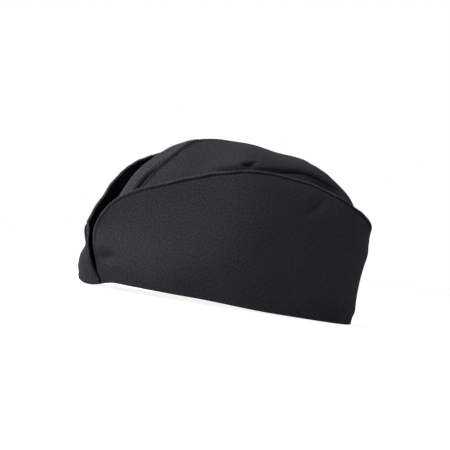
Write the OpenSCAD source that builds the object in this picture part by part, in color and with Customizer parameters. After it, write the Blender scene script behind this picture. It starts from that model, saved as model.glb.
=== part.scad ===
// Soft side cap for kitchen wear: a crown of two panels and a sunk top strip, two stiffened
// curtains that stand around it, and a sweatband with an elastic back.
// The front of the cap points to -X, the wearer's left is -Y, and the hem rests on z = 0.

/* [Head opening] */
// Inside length of the head opening, front to back
head_length = 193; // [183:1:203]
// Inside width of the head opening, side to side
head_width = 163; // [153:1:173]
// Squareness of the head opening, 2 is an ellipse
head_squareness = 2.5; // [2:0.1:3]

/* [Crown] */
// Height of the crown above the table
crown_height = 118.5; // [112:0.5:125]
// Squareness of the crown seen from the side
profile_squareness = 3.15; // [2.65:0.05:3.65]
// Squareness of the crown seen from the front, at its middle
section_squareness = 2.5; // [2.2:0.1:2.8]
// How much slacker the crown's section is at the front end
front_slack = 1.35; // [1.2:0.05:1.5]
// How much fuller the crown's section is at the back end
back_fullness = 0.4; // [0:0.1:0.6]
// Thickness of the crown cloth
crown_cloth = 0.6; // [0.4:0.1:0.9]

/* [Top strip] */
// Visible width of the strip between the two folded ridges
strip_width = 21; // [16:1:28]
// Depth of the strip's valley below the ridges
strip_valley = 5; // [3:0.5:8]
// How far the strip reaches under each crown panel
strip_lap = 7; // [5:0.5:10]
// Width of the tape over each crown seam
tape_width = 11; // [8:0.5:14]
// Thickness of the seam tape
tape_thick = 0.4; // [0.3:0.1:0.6]

/* [Curtains] */
// Height of the curtain's free edge at its peak
curtain_peak = 98.5; // [92:0.5:104]
// Height of the curtain where its front edge turns into its top edge
curtain_front = 27; // [22:1:34]
// Height of the curtain at the back
curtain_back = 57; // [48:1:64]
// How far the curtain's front leans forward of the hem
front_rake = 14; // [10:1:18]
// How far the curtain's back leans out from the hem
back_rake = 4; // [2:1:8]
// How far the curtain stands off the crown at its peak
curtain_flare = 13; // [9:1:16]
// How sharply the two curtains pinch together at the front
front_pinch = 2.8; // [2.2:0.1:3.2]
// Half of the slit between the curtains at the hem
slit_foot = 2.4; // [2.4:0.1:3.4]
// Half of the slit between the curtains where their front edges end
slit_half = 5; // [4:0.1:7]
// Gap between curtain and crown at the hem
curtain_gap = 0.5; // [0.4:0.1:1]
// Thickness of the curtain's cloth, used outside and inside
curtain_cloth = 0.5; // [0.4:0.1:0.7]
// Thickness of the curtain's interlining
interlining = 0.4; // [0.3:0.1:0.7]
// How far the interlining stops short of the curtain's edges
interlining_margin = 3; // [2:0.5:5]
// Thickness of the rolled edge
roll_diameter = 2.4; // [1.8:0.1:3]

/* [Band] */
// Height of the sweatband
band_height = 30; // [24:1:36]
// Thickness of the sweatband
band_thick = 1.4; // [1.2:0.1:2]
// Height of the elastic strap
elastic_height = 19; // [14:1:24]
// Thickness of the casing's cloth
casing_cloth = 0.5; // [0.4:0.05:0.7]
// How far the elastic casing reaches forward from the back of the opening
casing_reach = 42; // [34:1:52]
// Height of the binding along the hem
binding_height = 2.2; // [1.6:0.1:3]

/* [Hidden] */
// Gap left between layers that are sewn together
layer = 0.1;
// Gap left around the rolled edge
roll_gap = 0.35;
// Gap left between cloths that cross each other in the crown
cross_gap = 0.6;
// Depth of each layer below the crown's outer face
strip_in = crown_cloth + cross_gap;
tape_in = strip_in + crown_cloth + cross_gap;
band_in = tape_in + tape_thick + cross_gap;
crown_depth = band_in + band_thick;
// Half length and half width of the crown's outer face at the hem
crown_l = head_length / 2 + crown_depth;
crown_w = head_width / 2 + crown_depth;
strip_half = strip_width / 2;
// Layers of the curtain, measured inwards from its outer face
lining_in = curtain_cloth + 2.5 * layer;
facing_in = lining_in + interlining + 2.5 * layer;
curtain_thick = facing_in + curtain_cloth;
curtain_off = curtain_gap + curtain_thick;
hem_z = binding_height + layer;
curtain_hem = binding_height + 0.3;
band_top = hem_z + band_height;
// Height over which the hem's round front turns into the pinched front
pinch_height = 0.72 * curtain_peak;
rake_height = 1.1 * curtain_front;
// Where the band's front part meets the casing
casing_x = head_length / 2 - casing_reach;
// Steps of the curved surfaces
rows = 36;
cols = 9;
strip_cols = 8;
along = 32;
up = 6;
sides = 6;

function smooth(u) = let (v = min(1, max(0, u))) v * v * (3 - 2 * v);
function unit(v) = v / norm(v);
function bump(u) = abs(u) < 1 ? 0.5 + 0.5 * cos(180 * u) : 0;

// Crown: half width at the hem, height of the middle line and squareness of the section,
// f forward of the centre, for a face that lies d inside the outer one
function hem_half(f, d) =
    (crown_w - d) * pow(max(0, 1 - pow(min(1, abs(f) / (crown_l - d)), head_squareness)), 1 / head_squareness);
function middle(f, d) =
    (crown_height - d) * pow(max(0, 1 - pow(min(1, abs(f) / (crown_l - d)), profile_squareness)), 1 / profile_squareness);
function squareness(f) =
    section_squareness - (f > 0 ? front_slack * smooth(f / crown_l / 0.7) : -back_fullness * pow(min(1, -f / crown_l), 2));
function crown_side(f, z, d) = let (m = squareness(f), h = middle(f, d))
    h <= z ? 0 : hem_half(f, d) * pow(1 - pow(z / h, m), 1 / m);

// Point of the crown's cloth at depth d: t runs from the front (0) over to the back (180),
// g leans from the middle line (0) down to the hem (90), to the right where it is positive
function crown_f(t, d) = (crown_l - d) * sign(cos(t)) * pow(abs(cos(t)), 2 / profile_squareness);
function crown_at(t, g, d) =
    let (f = crown_f(t, d), m = squareness(f), s = hem_half(f, d) * sign(g) * pow(abs(sin(g)), 2 / m))
    [-f, s, middle(f, d) * pow(cos(g), 2 / m) * (1 - strip_valley / crown_height * bump(s / strip_half))];
// Lean at which the cloth is s off the middle, and at which it meets the hem binding
function lean_at(t, s, d) = let (f = crown_f(t, d)) asin(pow(min(1, s / hem_half(f, d)), squareness(f) / 2));
function lean_hem(t, d) = let (f = crown_f(t, d)) acos(pow(min(1, hem_z / middle(f, d)), squareness(f) / 2));
// First t at which the crown is s wide at the hem on each side, and at which it is z high
function t_wide(s, d) = acos(pow(1 - pow(s / (crown_w - d), head_squareness), profile_squareness / 2 / head_squareness));
function t_high(z, d) = asin(pow(z / (crown_height - d), profile_squareness / 2));

// Sheet of cloth between two depths; place(u, v, d) puts u along it, v across it
module sheet(nu, nv, from, to, place) {
    n = (nu + 1) * (nv + 1);
    function at(i, j) = i * (nv + 1) + j;
    polyhedron([for (d = [from, to], i = [0:nu], j = [0:nv]) place(i / nu, j / nv, d)], concat(
        [for (i = [0:nu - 1], j = [0:nv - 1]) each
            [[at(i, j), at(i + 1, j + 1), at(i + 1, j)], [at(i, j), at(i, j + 1), at(i + 1, j + 1)]]],
        [for (i = [0:nu - 1], j = [0:nv - 1]) each
            [[n + at(i, j), n + at(i + 1, j), n + at(i + 1, j + 1)], [n + at(i, j), n + at(i + 1, j + 1), n + at(i, j + 1)]]],
        [for (i = [0:nu - 1]) each
            [[at(i, 0), at(i + 1, 0), n + at(i + 1, 0)], [at(i, 0), n + at(i + 1, 0), n + at(i, 0)],
             [at(i, nv), n + at(i + 1, nv), at(i + 1, nv)], [at(i, nv), n + at(i, nv), n + at(i + 1, nv)]]],
        [for (j = [0:nv - 1]) each
            [[at(0, j), n + at(0, j + 1), at(0, j + 1)], [at(0, j), n + at(0, j), n + at(0, j + 1)],
             [at(nu, j), at(nu, j + 1), n + at(nu, j + 1)], [at(nu, j), n + at(nu, j + 1), n + at(nu, j)]]]));
}

// Solid through a row of closed rings, each end closed on its middle point
module loft(rings) {
    n = len(rings[0]);
    last = len(rings) - 1;
    ends = [for (r = [rings[0], rings[last]]) [for (a = [0:2]) min([for (p = r) p[a]]) / 2 + max([for (p = r) p[a]]) / 2]];
    polyhedron(concat([for (r = rings) each r], ends), concat(
        [for (i = [0:last - 1], j = [0:n - 1]) let (k = (j + 1) % n) each
            [[i * n + j, (i + 1) * n + j, (i + 1) * n + k], [i * n + j, (i + 1) * n + k, i * n + k]]],
        [for (j = [0:n - 1]) [(last + 1) * n, j, (j + 1) % n]],
        [for (j = [0:n - 1]) [(last + 1) * n + 1, last * n + (j + 1) % n, last * n + j]]));
}

// Outline of the hem with half length a and half width b
function hem_outline(a, b) = [for (t = [0:4:356])
    [a * sign(cos(t)) * pow(abs(cos(t)), 2 / head_squareness), b * sign(sin(t)) * pow(abs(sin(t)), 2 / head_squareness)]];
module hem_binding() color("#26262b") linear_extrude(height = binding_height) difference() {
    polygon(hem_outline(crown_l + curtain_off, crown_w + curtain_off));
    polygon(hem_outline(head_length / 2, head_width / 2));
}

// From one end of a run over the crown to the other
function run(u, t0) = t0 + (180 - 2 * t0) * u;
module crown_left_panel() color("#34343a") sheet(rows, cols, 0, crown_cloth, function(u, v, d)
    let (t = run(u, t_wide(strip_half + 2, crown_cloth)), a = lean_hem(t, d), b = lean_at(t, strip_half, d))
    crown_at(t, -(a + (b - a) * v), d));
module crown_right_panel() mirror([0, 1, 0]) crown_left_panel();
module crown_top_strip() color("#3c3c42") sheet(rows, strip_cols, strip_in, strip_in + crown_cloth, function(u, v, d)
    let (t = run(u, t_high(hem_z + 2, strip_in + crown_cloth)), g = min(lean_at(t, strip_half + strip_lap, d), lean_hem(t, d)))
    crown_at(t, g * (2 * v - 1), d));
module crown_left_seam_tape() color("#222226") sheet(rows, 2, tape_in, tape_in + tape_thick, function(u, v, d)
    let (s = strip_half + strip_lap / 2, t = run(u, t_wide(s + tape_width / 2 + 2, tape_in + tape_thick)),
        a = lean_at(t, s + tape_width / 2, d), b = lean_at(t, s - tape_width / 2, d))
    crown_at(t, -min(a + (b - a) * v, lean_hem(t, d)), d));
module crown_right_seam_tape() mirror([0, 1, 0]) crown_left_seam_tape();

// Point of the band at depth d and height z, at the angle p round the opening from its back
function band_at(p, z, d) =
    let (nose = (crown_l - d) * pow(1 - pow(z / (crown_height - d), profile_squareness), 1 / profile_squareness),
        f = -nose * sign(cos(p)) * pow(abs(cos(p)), 2 / head_squareness), m = squareness(f),
        s = hem_half(f, d) * pow(max(0, 1 - pow(min(1, z / middle(f, d)), m)), 1 / m))
    [-f, sign(sin(p)) * s, z];
// Angle at which the band lies x behind the middle
function band_angle(x, z, d) =
    let (nose = (crown_l - d) * pow(1 - pow(z / (crown_height - d), profile_squareness), 1 / profile_squareness))
    acos(pow(x / nose, head_squareness / 2));
module sweatband() color("#2a2a2e") sheet(2 * rows, 3, band_in, crown_depth, function(u, v, d)
    let (z = hem_z + band_height * v, p = band_angle(casing_x, z, d)) band_at(p + (360 - 2 * p) * u, z, d));
module back_piece(from, to, height, x) sheet(rows, 3, from, to, function(u, v, d)
    let (z = hem_z + (band_height - height) / 2 + height * v, p = band_angle(x, z, d)) band_at(p * (2 * u - 1), z, d));
module elastic_casing() color("#303036") back_piece(crown_depth - casing_cloth, crown_depth, band_height, casing_x + layer);
module back_elastic() color("#1d1d20") back_piece(band_in, crown_depth - casing_cloth - layer, elastic_height, casing_x + layer);

// Curtain: outline of its outer face at height z, from the front slit (q = 0) round to the back (q = 1)
function curtain_half(z) = crown_side(0, z, 0) + curtain_off + curtain_flare * pow(z / curtain_peak, 2);
function curtain_plan(q, z) =
    let (c = cos(180 * q), s = sin(180 * q), front = c > 0,
        reach = crown_l + curtain_off + (front ? front_rake * sin(90 * min(1, z / rake_height)) : back_rake * min(1, z / curtain_back)),
        f = reach * sign(c) * pow(abs(c), 2 / head_squareness),
        e = 2 / head_squareness + (front ? front_pinch * smooth(z / pinch_height) * smooth(c / 0.45) : 0),
        slit = slit_foot + (slit_half - slit_foot) * min(1, z / curtain_front),
        w = slit + (curtain_half(z) - slit) * pow(s, e))
    [-f, -max(w, crown_side(f, z, -curtain_off)), z];
// Height of its free edge
function curtain_top(q) = let (c = cos(180 * q))
    c > 0 ? curtain_front + (curtain_peak - curtain_front) * pow(1 - pow(c, 1.65), 0.44)
        : curtain_peak - (curtain_peak - curtain_back) * pow(-c, 1.9);
function curtain_z(q, h) = curtain_hem + h * (curtain_top(q) - curtain_hem);
function curtain_point(q, h) = curtain_plan(q, curtain_z(q, h));
function curtain_ahead(q, h) = let (z = curtain_z(q, h)) unit(curtain_plan(min(1, q + 0.01), z) - curtain_plan(max(0, q - 0.01), z));
function curtain_rise(q, h) = unit(curtain_point(q, min(1, h + 0.02)) - curtain_point(q, max(0, h - 0.02)));
function curtain_normal(q, h) = unit(cross(curtain_ahead(q, h), curtain_rise(q, h)));
function curtain_at(q, h, d) = curtain_point(q, h) - d * curtain_normal(q, h);

// Lines of the curtain's grid: even steps, and one line a margin inside each edge
function lines(n, margin) = concat([0, margin], [for (i = [1:n - 1]) i / n], [1 - margin, 1]);
lines_q = lines(along, interlining_margin / (3 * crown_l));
lines_h = lines(up, interlining_margin / curtain_peak);
last_q = len(lines_q) - 1;
last_h = len(lines_h) - 1;
// Sheet between two depths of the curtain that leaves out the first and last lines of the grid
module curtain_sheet(from, to, leave) let (nq = last_q - 2 * leave, nh = last_h - 2 * leave)
    sheet(nq, nh, from, to, function(u, v, d)
        curtain_at(lines_q[round(u * nq) + leave], lines_h[round(v * nh) + leave], d));

// Rolled edge: up the front edge, along the top and down the back edge
edge_path = concat([for (h = lines_h) [0, h]], [for (i = [1:last_q]) [lines_q[i], 1]], [for (j = [last_h - 1:-1:0]) [1, lines_h[j]]]);
last_edge = len(edge_path) - 1;
function edge_point(k) = let (p = edge_path[min(last_edge, max(0, k))]) curtain_point(p[0], p[1]);
function edge_centre(k) = let (p = edge_path[k], n = curtain_normal(p[0], p[1]), t = unit(edge_point(k + 1) - edge_point(k - 1)))
    curtain_at(p[0], p[1], curtain_thick / 2) + (roll_diameter / 2 + roll_gap) * unit(cross(n, t));
module rolled_edge() {
    last = last_edge;
    loft([for (k = [0:last])
        let (p = edge_path[k], c = edge_centre(k), t = unit(edge_centre(min(last, k + 1)) - edge_centre(max(0, k - 1))),
            u = unit(curtain_normal(p[0], p[1]) - (curtain_normal(p[0], p[1]) * t) * t), v = cross(t, u))
        [for (a = [0:360 / sides:359]) c + roll_diameter / 2 * (cos(a) * u + sin(a) * v)]]);
}

module left_curtain_outer() color("#35353b") curtain_sheet(0, curtain_cloth, 0);
module left_curtain_interlining() color("#77777c") curtain_sheet(lining_in, lining_in + interlining, 1);
module left_curtain_facing() color("#2c2c31") curtain_sheet(facing_in, curtain_thick, 0);
module left_curtain_roll() color("#404046") rolled_edge();
module right_curtain_outer() mirror([0, 1, 0]) left_curtain_outer();
module right_curtain_interlining() mirror([0, 1, 0]) left_curtain_interlining();
module right_curtain_facing() mirror([0, 1, 0]) left_curtain_facing();
module right_curtain_roll() mirror([0, 1, 0]) left_curtain_roll();

hem_binding();
crown_left_panel();
crown_right_panel();
crown_top_strip();
crown_left_seam_tape();
crown_right_seam_tape();
sweatband();
elastic_casing();
back_elastic();
left_curtain_outer();
left_curtain_interlining();
left_curtain_facing();
left_curtain_roll();
right_curtain_outer();
right_curtain_interlining();
right_curtain_facing();
right_curtain_roll();
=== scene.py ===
# %% [markdown]
# # A soft side cap for kitchen wear
# The real cap is sewn from black cotton twill: a crown of two panels with a sunk strip between
# them, and two stiffened curtains that stand around it. The construction comes from the packed
# frame. This lesson dresses it in cloth, with every piece at the place the frame gives it.

# %% Load the frame
import math

import bpy
import numpy as np
from mathutils import Matrix, Vector


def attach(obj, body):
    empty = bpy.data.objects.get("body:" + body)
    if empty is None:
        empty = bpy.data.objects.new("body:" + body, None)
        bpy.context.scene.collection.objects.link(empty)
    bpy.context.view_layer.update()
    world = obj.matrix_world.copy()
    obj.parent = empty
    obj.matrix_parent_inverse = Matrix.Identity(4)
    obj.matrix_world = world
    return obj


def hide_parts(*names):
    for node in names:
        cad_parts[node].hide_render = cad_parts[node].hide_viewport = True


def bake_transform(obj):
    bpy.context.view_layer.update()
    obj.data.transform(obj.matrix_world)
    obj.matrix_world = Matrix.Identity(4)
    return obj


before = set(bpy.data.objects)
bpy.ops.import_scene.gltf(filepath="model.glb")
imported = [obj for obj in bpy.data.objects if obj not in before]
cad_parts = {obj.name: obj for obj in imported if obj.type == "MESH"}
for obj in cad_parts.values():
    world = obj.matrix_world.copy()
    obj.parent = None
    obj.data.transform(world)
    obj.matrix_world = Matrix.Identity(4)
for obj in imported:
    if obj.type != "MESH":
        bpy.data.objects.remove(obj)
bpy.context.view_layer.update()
MM = 0.001
SIDES = ("left", "right")

# %% [markdown]
# ## Camera
# A long lens far away keeps the hem almost straight, as in a catalogue picture. The camera is built
# from three axes: one towards the camera, one to the right, one up. Turning the last two about the
# first tilts the picture, which is easier to read than a chain of Euler angles.

# %% Camera
IMAGE_PIXELS, MM_PER_PIXEL = 450, 0.7594
CAMERA_AWAY, SENSOR_WIDTH, FAR_END = 2600.0, 36.0, 50.0
AZIMUTH, ELEVATION, TILT = math.radians(32.42), math.radians(0.05), math.radians(10.13)
AIM = Vector((-1.16, 0.74, 56.5))

flat_part = math.cos(ELEVATION)
towards = Vector((-math.sin(AZIMUTH) * flat_part, -math.cos(AZIMUTH) * flat_part, math.sin(ELEVATION)))
level = Vector((math.cos(AZIMUTH), -math.sin(AZIMUTH), 0.0))
upward = towards.cross(level)
right = level * math.cos(TILT) + upward * math.sin(TILT)
top = upward * math.cos(TILT) - level * math.sin(TILT)
lens = bpy.data.cameras.new("camera")
lens.sensor_width = SENSOR_WIDTH
lens.lens = SENSOR_WIDTH * CAMERA_AWAY / (IMAGE_PIXELS * MM_PER_PIXEL)
lens.clip_end = FAR_END
camera = bpy.data.objects.new("camera", lens)
bpy.context.scene.collection.objects.link(camera)
turn = Matrix((right, top, towards)).transposed().to_4x4()
camera.matrix_world = Matrix.Translation((AIM + towards * CAMERA_AWAY) * MM) @ turn
bpy.context.scene.camera = camera
bpy.context.scene.view_settings.view_transform = "Standard"
print("lens, mm", round(lens.lens, 1))

# %% [markdown]
# ## Words for soft shapes
# Cloth has few sharp changes, so two curves describe most of its folds: a rise from 0 to 1 between
# two places, and a hump around one place. Each takes its places in millimetres or as a share, so a
# line of code can be read next to the cap.

# %% Rise, fall and hump
def rise(value, start, end):
    """0 up to start, 1 from end on, smooth between them."""
    v = np.clip((value - start) / (end - start), 0.0, 1.0)
    return v * v * (3.0 - 2.0 * v)


def fall(value, start, end):
    """1 up to start, 0 from end on, smooth between them."""
    return 1.0 - rise(value, start, end)


def between(value, start, full, fading, gone):
    """Grows from start to full, stays at 1, and fades until it is gone."""
    return rise(value, start, full) * fall(value, fading, gone)


def hump(value, middle, half):
    """1 at the middle, and about a third of that at the half width."""
    return np.exp(-np.square((value - middle) / half))


def signed_power(v, p):
    return np.sign(v) * np.abs(v) ** p


def unit(vectors):
    return vectors / np.maximum(np.linalg.norm(vectors, axis=-1, keepdims=True), 1e-12)


print("a hump at its half width", round(float(hump(1.0, 0.0, 1.0)), 2))

# %% [markdown]
# ## The form of the crown
# The crown is a soft dome over an oval head opening. Cloth like this could be sculpted by hand, but
# a formula keeps it on the solids: a superellipse gives the oval, another gives the line over the
# top, and a third the section across. f is the distance forward of the middle, d the depth below
# the outer face, all in millimetres. t runs from the front over the top to the back, and g is the
# lean to the side.

# %% Form of the crown
HEAD_LENGTH, HEAD_WIDTH, HEAD_POWER = 193.0, 163.0, 2.5
CROWN_HEIGHT, PROFILE_POWER, SECTION_POWER = 118.5, 3.15, 2.5
FRONT_SLACK, SLACK_REACH, BACK_FULLNESS = 1.35, 0.7, 0.4
STRIP_HALF, STRIP_VALLEY, STRIP_LAP = 10.5, 5.0, 7.0
CROWN_CLOTH, STRIP_IN, TAPE_IN, TAPE_WIDTH, TAPE_THICK = 0.6, 1.2, 2.4, 11.0, 0.4
BAND_IN, CROWN_DEPTH, HEM_Z = 3.4, 4.8, 2.3
CROWN_L, CROWN_W = HEAD_LENGTH / 2 + CROWN_DEPTH, HEAD_WIDTH / 2 + CROWN_DEPTH
TINY = 1e-6


def oval(f, d, full, power):
    """A superellipse over the crown's length: full in the middle, 0 at the front and back."""
    share = np.minimum(1.0, np.abs(f) / (CROWN_L - d))
    return (full - d) * np.maximum(0.0, 1.0 - share**power) ** (1 / power)


def hem_half(f, d):
    return oval(f, d, CROWN_W, HEAD_POWER)


def middle_height(f, d):
    return oval(f, d, CROWN_HEIGHT, PROFILE_POWER)


def section_power(f):
    front = FRONT_SLACK * rise(f, 0.0, SLACK_REACH * CROWN_L)
    back = BACK_FULLNESS * np.clip(-f / CROWN_L, 0.0, 1.0) ** 2
    return SECTION_POWER - np.where(f > 0, front, -back)


def crown_side(f, z, d):
    m, high = section_power(f), middle_height(f, d)
    share = np.where(high <= z, 1.0, z / np.maximum(high, TINY))
    return hem_half(f, d) * np.maximum(0.0, 1.0 - share**m) ** (1 / m)


def crown_forward(t, d):
    return (CROWN_L - d) * signed_power(np.cos(t), 2 / PROFILE_POWER)


print("crown at the hem, mm", round(2 * CROWN_L, 1), "x", round(2 * CROWN_W, 1))

# %% Points of the crown
def crown_point(t, g, d):
    f = crown_forward(t, d)
    m = section_power(f)
    s = hem_half(f, d) * signed_power(np.sin(g), 2 / m)
    across = np.clip(s / STRIP_HALF, -1, 1)
    valley = STRIP_VALLEY / CROWN_HEIGHT * (0.5 + 0.5 * np.cos(np.pi * across))
    z = middle_height(f, d) * np.abs(np.cos(g)) ** (2 / m) * (1 - valley)
    return np.stack([-f, s, z], -1)


def lean_at(t, s, d):
    """The lean at which the crown is s from its middle."""
    f = crown_forward(t, d)
    share = np.minimum(1.0, s / np.maximum(hem_half(f, d), TINY))
    return np.arcsin(share ** (section_power(f) / 2))


def lean_hem(t, d):
    """The lean at which the crown comes down to its hem."""
    f = crown_forward(t, d)
    share = np.minimum(1.0, HEM_Z / np.maximum(middle_height(f, d), TINY))
    return np.arccos(share ** (section_power(f) / 2))


def first_wide(s, d):
    """The first t at which the crown is s wide on each side."""
    return math.acos((1 - (s / (CROWN_W - d)) ** HEAD_POWER) ** (PROFILE_POWER / 2 / HEAD_POWER))


def first_high(z, d):
    """The first t at which the crown's middle is z high."""
    return math.asin((z / (CROWN_HEIGHT - d)) ** (PROFILE_POWER / 2))


print("top of the strip's valley, mm", crown_point(np.array(np.pi / 2), np.array(0.0), 0.0).round(1))

# %% [markdown]
# ## The form of the curtains
# Each curtain is a stiffened flap that stands up from the hem, wraps half of the crown, and is free
# along its top. q runs from the slit at the front (0) to the slit at the back (1). The same plan at
# every height, pinched towards the front, gives the prow; the height of the free edge is a curve
# over q, with its back corner rounded off.

# %% Form of the curtains
CURTAIN_PEAK, CURTAIN_FRONT, CURTAIN_BACK, CURTAIN_HEM = 98.5, 27.0, 57.0, 2.5
FRONT_RAKE, BACK_RAKE, CURTAIN_FLARE = 14.0, 4.0, 13.0
FRONT_PINCH, PINCH_END = 2.8, 0.45
SLIT_FOOT, SLIT_HALF = 2.4, 5.0
CURTAIN_CLOTH, LINING_IN, LINING, FACING_IN = 0.5, 0.75, 0.4, 1.4
CURTAIN_THICK, CURTAIN_OFF = 1.9, 2.4
PINCH_HEIGHT, RAKE_HEIGHT = 0.72 * CURTAIN_PEAK, 1.1 * CURTAIN_FRONT
Q_STEP, Z_STEP = 0.006, 0.8


def curtain_plan(q, z):
    """The outer face of the left curtain."""
    c, s = np.cos(np.pi * q), np.maximum(np.sin(np.pi * q), 0.0)
    lean_front = FRONT_RAKE * np.sin(np.pi / 2 * np.minimum(1.0, z / RAKE_HEIGHT))
    lean_back = BACK_RAKE * np.minimum(1.0, z / CURTAIN_BACK)
    lean = np.where(c > 0, lean_front, lean_back)
    f = (CROWN_L + CURTAIN_OFF + lean) * signed_power(c, 2 / HEAD_POWER)
    pinch = FRONT_PINCH * rise(z, 0.0, PINCH_HEIGHT) * rise(c, 0.0, PINCH_END)
    slit = SLIT_FOOT + (SLIT_HALF - SLIT_FOOT) * np.minimum(1.0, z / CURTAIN_FRONT)
    flare = CURTAIN_FLARE * (z / CURTAIN_PEAK) ** 2
    half = crown_side(np.zeros_like(z), z, 0.0) + CURTAIN_OFF + flare
    w = slit + (half - slit) * s ** (2 / HEAD_POWER + pinch)
    return np.stack([-f, -np.maximum(w, crown_side(f, z, -CURTAIN_OFF)), z], -1)


def curtain_normal(q, z):
    ahead = curtain_plan(np.minimum(1, q + Q_STEP), z) - curtain_plan(np.maximum(0, q - Q_STEP), z)
    upwards = curtain_plan(q, z + Z_STEP) - curtain_plan(q, np.maximum(0, z - Z_STEP))
    return unit(np.cross(ahead, upwards))


print("curtain half way round, mm", curtain_plan(np.array(0.5), np.array(CURTAIN_PEAK)).round(1))

# %% Free edge of the curtains
FRONT_BEND, FRONT_ROUND, BACK_BEND = 1.65, 0.44, 1.9
BACK_CORNER = 8.0
# Hand of the maker: each curtain's free edge wanders a little, as pairs of q and millimetres
EDGE_WANDER = {
    "left": [
        (0.0, -0.4), (0.07, -0.6), (0.134, -0.3), (0.213, -1.5), (0.275, -2.2),
        (0.34, -0.3), (0.38, 1.4), (0.43, 3.0), (0.465, 2.2), (0.515, 0.3),
        (0.60, -0.9), (0.67, -0.4), (0.73, 2.0), (0.80, 1.4), (1.0, 0.0),
    ],
    "right": [
        (0.0, 0.4), (0.124, -0.2), (0.2, -1.9), (0.246, -2.1), (0.29, -2.1),
        (0.335, -3.2), (0.365, -2.5), (0.40, 0.85), (0.427, 3.8), (0.45, 5.9),
        (0.5, 4.2), (0.62, 0.2), (0.8, -0.6), (1.0, 0.0),
    ],
}


def wander(pairs, q):
    """A smooth line through the pairs, level at each of them."""
    at, value = np.array(pairs).T
    k = np.clip(np.searchsorted(at, q) - 1, 0, len(at) - 2)
    return value[k] + (value[k + 1] - value[k]) * rise(q, at[k], at[k + 1])


def curtain_top(q, side):
    c = np.cos(np.pi * q)
    climb = np.maximum(0, 1 - np.maximum(c, 0) ** FRONT_BEND) ** FRONT_ROUND
    front = CURTAIN_FRONT + (CURTAIN_PEAK - CURTAIN_FRONT) * climb
    back = CURTAIN_PEAK - (CURTAIN_PEAK - CURTAIN_BACK) * np.maximum(-c, 0) ** BACK_BEND
    z = np.where(c > 0, front, back) + wander(EDGE_WANDER[side], q)
    in_from_slit = -curtain_plan(q, z)[..., 1] - SLIT_HALF
    short = np.where(c < 0, np.clip(BACK_CORNER - in_from_slit, 0.0, BACK_CORNER), 0.0)
    return z - (BACK_CORNER - np.sqrt(BACK_CORNER**2 - short**2))


print("curtain peak, mm", round(float(curtain_top(np.linspace(0, 1, 400), "left").max()), 1))

# %% [markdown]
# ## Helpers for cloth
# A sheet of cloth has two faces and an edge. A Solidify modifier could give the thickness, but
# laying out both faces in code keeps each layer at its own depth and rounds the edge. Every point
# also keeps its place on the flat cloth, so that the weave can follow the pattern piece, and a value
# for how much that place is rubbed, which also carries painted shade and painted highlights. The
# empty cap has settled where it stands. One function moves the points of every piece alike, so no
# layer leaves its neighbour.

# %% Settle and make a piece
collection = bpy.context.scene.collection
random = np.random.default_rng(58)
TOE_TURN, TOE_DROOP, TOE_LIFT, BACK_SAG, SOFT_HEIGHT = 6.5, 4.8, 0.35, 1.7, 45.0


def settle(points):
    """The soft cap as it stands: its toe is turned aside and droops, the back of its hem sags."""
    x, y, z = np.asarray(points).T
    y = y - TOE_TURN * rise(-x, 55.0, 95.0) * fall(z, 12.0, 42.0)
    slant = x * math.cos(AZIMUTH) - y * math.sin(AZIMUTH)
    toe = rise(-slant, 73.0, 94.0) * (1 - TOE_LIFT * rise(-slant, 97.0, 106.0))
    drop = TOE_DROOP * toe + BACK_SAG * rise(slant, -15.0, 45.0)
    return np.stack([x, y, z - drop * fall(z, 0.0, SOFT_HEIGHT)], -1)


def flat_place(face):
    """Lengths along and across the cloth from its middle line, in metres."""
    place = np.zeros(face.shape)
    for axis in (0, 1):
        step = np.linalg.norm(np.diff(face, axis=axis), axis=-1)
        run = np.concatenate([np.zeros_like(np.take(step, [0], axis)), np.cumsum(step, axis)], axis)
        place[..., axis] = run - np.take(run, [run.shape[axis] // 2], axis)
    return place * MM


def new_piece(name, points, faces, place, wear_and_shade):
    """A smooth mesh whose faces look outward, with its place on the flat cloth and its wear, painted shade
    and painted highlights.
    """
    points = settle(points)
    corners = points[np.array([f[:3] for f in faces])]
    fourth = points[np.array([f[2:4] + f[:1] if len(f) > 3 else f[:1] * 3 for f in faces])]
    volume = sum((c[:, 0] * np.cross(c[:, 1], c[:, 2])).sum() for c in (corners, fourth))
    if volume < 0:
        faces = [f[::-1] for f in faces]
    mesh = bpy.data.meshes.new(name)
    mesh.from_pydata((points * MM).tolist(), [], faces)
    flat = mesh.attributes.new("cloth", "FLOAT_VECTOR", "POINT")
    flat.data.foreach_set("vector", np.asarray(place, dtype=np.float32).ravel())
    # The wear value: raised for rubbed cloth and painted highlights, below zero for painted shade
    wear_and_shade_layer = mesh.attributes.new("wear_and_shade", "FLOAT", "POINT")
    wear_and_shade_layer.data.foreach_set("value", np.asarray(wear_and_shade, dtype=np.float32).ravel())
    mesh.polygons.foreach_set("use_smooth", [True] * len(mesh.polygons))
    mesh.update()
    piece = bpy.data.objects.new(name, mesh)
    collection.objects.link(piece)
    return piece


def flat_size(piece):
    """Half of the closed sheet's surface, in square metres."""
    return sum(p.area for p in piece.data.polygons) / 2


def square_cm(piece):
    return round(flat_size(piece) * 1e4, 1)


print("toe droops, mm", TOE_DROOP, "back sags, mm", BACK_SAG)

# %% Sheets and tubes
EDGE_STEPS = 3


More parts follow.
